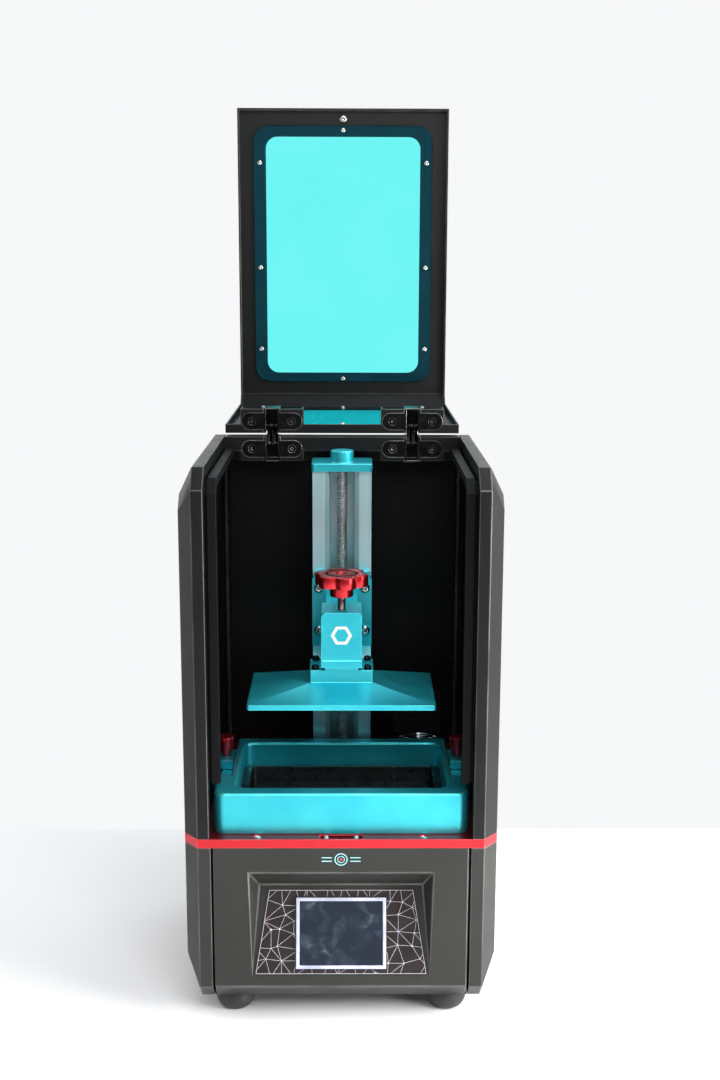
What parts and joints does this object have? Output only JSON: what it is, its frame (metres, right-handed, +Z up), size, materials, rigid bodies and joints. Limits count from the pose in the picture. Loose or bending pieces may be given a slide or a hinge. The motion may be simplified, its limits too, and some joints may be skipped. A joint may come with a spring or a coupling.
{
  "type": "resin printer",
  "caption": "Desktop resin printer with an L-shaped lift-over lid, one screw-driven Z column, a hanging build platform, a slide-in vat and a tilted touch screen.",
  "frame": {"origin": "On the table, straight below the lid's hinge axis, midway between the sides; with the lid stored open this is the bottom centre of the whole bounding box.", "axes": "+Z up, -Y out of the front, +X to the right of someone facing the front."},
  "size_m": [0.2202, 0.345, 0.6623],
  "materials": {
    "black_coat": "matt black powder coat",
    "panel_coat": "warm dark grey satin coat",
    "chamber_coat": "matt black inside",
    "red_anodised": "red anodised",
    "cyan_anodised": "cyan anodised, fine blasted",
    "bare_aluminium": "clear anodised extrusion",
    "steel": "bright steel",
    "black_steel": "blackened steel",
    "chrome_wire": "chromed wire",
    "brass": "turned brass",
    "rubber": "black rubber",
    "cyan_window": "tinted acrylic",
    "clear_film": "thin release film",
    "screen_glass": "dark display glass",
    "bezel_plastic": "pale lavender plastic",
    "overlay_foil": "printed foil",
    "black_plastic": "black moulded plastic",
    "circuit_board": "green board",
    "lamp_white": "white board"
  },
  "bodies": {
    "base": {"base_tray": "black_coat", "front_panel": "panel_coat", "screen_overlay": "overlay_foil", "screen_bezel": "bezel_plastic", "touch_screen": "screen_glass", "right_base_cover": "black_coat", "left_base_cover": "black_coat", "rear_base_panel": "black_coat", "deck_plate": "red_anodised", "deck_screws": "steel", "door_catch": "steel", "mask_lcd": "screen_glass", "feet": "rubber", "lamp_reflector": "bare_aluminium", "lamp_board": "lamp_white", "lamp_heat_sink": "bare_aluminium", "z_motor": "black_steel", "mainboard": "circuit_board", "ports": "black_plastic", "switch_housing": "black_plastic", "right_side_cover": "black_coat", "left_side_cover": "black_coat", "right_lining": "chamber_coat", "left_lining": "chamber_coat", "rear_cover": "black_coat", "rear_beam": "black_coat", "body_hinge_leaves": "black_steel", "body_leaf_screws": "black_steel", "z_column": "bare_aluminium", "column_cap": "cyan_anodised", "linear_rail": "steel", "vat_clamps": "cyan_anodised", "filter_fan_frame": "black_plastic", "fan_guard": "chrome_wire"},
    "lid": {"lid_shell": "black_coat", "front_window": "cyan_window", "top_window": "cyan_window", "lid_screws": "steel", "lid_hinge_leaves": "black_steel", "lid_leaf_screws": "black_steel"},
    "lower_arms": {"body_hinge_arms": "black_steel"},
    "upper_arms": {"lid_hinge_arms": "black_steel"},
    "carriage": {"carriage_plate": "cyan_anodised", "carriage_screws": "steel", "rail_block": "steel", "lead_nut": "brass", "carriage_arm": "cyan_anodised"},
    "screw": {"lead_screw": "steel", "shaft_coupling": "bare_aluminium"},
    "knob": {"platform_knob": "red_anodised"},
    "platform": {"build_platform": "cyan_anodised", "neck_screws": "steel", "platform_bracket": "cyan_anodised"},
    "vat": {"vat_frame": "cyan_anodised", "film_frame": "black_plastic", "vat_film": "clear_film"},
    "right_thumb": {"right_thumb_screw": "red_anodised"},
    "left_thumb": {"left_thumb_screw": "red_anodised"},
    "fan": {"filter_fan_rotor": "black_plastic"},
    "rocker": {"power_rocker": "black_plastic"}
  },
  "joints": [
    {"name": "lid_hinge", "type": "hinge", "parent": "base", "child": "lid", "pos_m": [0, 0, 0.4013], "axis": [-1, 0, 0], "range_deg": [-180, 0]},
    {"name": "lower_arm_turn", "type": "hinge", "parent": "base", "child": "lower_arms", "pos_m": [0, 0.0055, 0.3943], "axis": [-1, 0, 0], "range_deg": [-180, 0]},
    {"name": "upper_arm_turn", "type": "hinge", "parent": "lid", "child": "upper_arms", "pos_m": [0, 0.0055, 0.4083], "axis": [-1, 0, 0], "range_deg": [0, 180]},
    {"name": "z_slide", "type": "slide", "parent": "base", "child": "carriage", "axis": [0, 0, 1], "range_m": [-0.082, 0.072]},
    {"name": "screw_spin", "type": "hinge", "parent": "base", "child": "screw", "pos_m": [0, -0.032, 0.2], "axis": [0, 0, 1], "continuous": true},
    {"name": "platform_slide", "type": "slide", "parent": "carriage", "child": "platform", "axis": [0, -1, 0], "range_m": [0, 0.06]},
    {"name": "knob_spin", "type": "hinge", "parent": "carriage", "child": "knob", "pos_m": [0, -0.108, 0.3], "axis": [0, 0, 1], "continuous": true},
    {"name": "vat_slide", "type": "slide", "parent": "base", "child": "vat", "axis": [0, -1, 0], "range_m": [0, 0.135]},
    {"name": "right_thumb_spin", "type": "hinge", "parent": "base", "child": "right_thumb", "pos_m": [0.0875, -0.08, 0.17], "axis": [0, 0, 1], "continuous": true},
    {"name": "left_thumb_spin", "type": "hinge", "parent": "base", "child": "left_thumb", "pos_m": [-0.0875, -0.08, 0.17], "axis": [0, 0, 1], "continuous": true},
    {"name": "fan_spin", "type": "hinge", "parent": "base", "child": "fan", "pos_m": [0.062, -0.005, 0.145], "axis": [0, 0, 1], "continuous": true},
    {"name": "rocker_tilt", "type": "hinge", "parent": "base", "child": "rocker", "pos_m": [-0.0325, 0.0258, 0.06], "axis": [1, 0, 0], "range_deg": [0, 14]}
  ],
  "couplings": [
    {"joint": "lower_arm_turn", "follows": "lid_hinge", "ratio": 1},
    {"joint": "upper_arm_turn", "follows": "lid_hinge", "ratio": -1},
    {"joint": "screw_spin", "follows": "z_slide", "rad_per_m": -785.4}
  ]
}
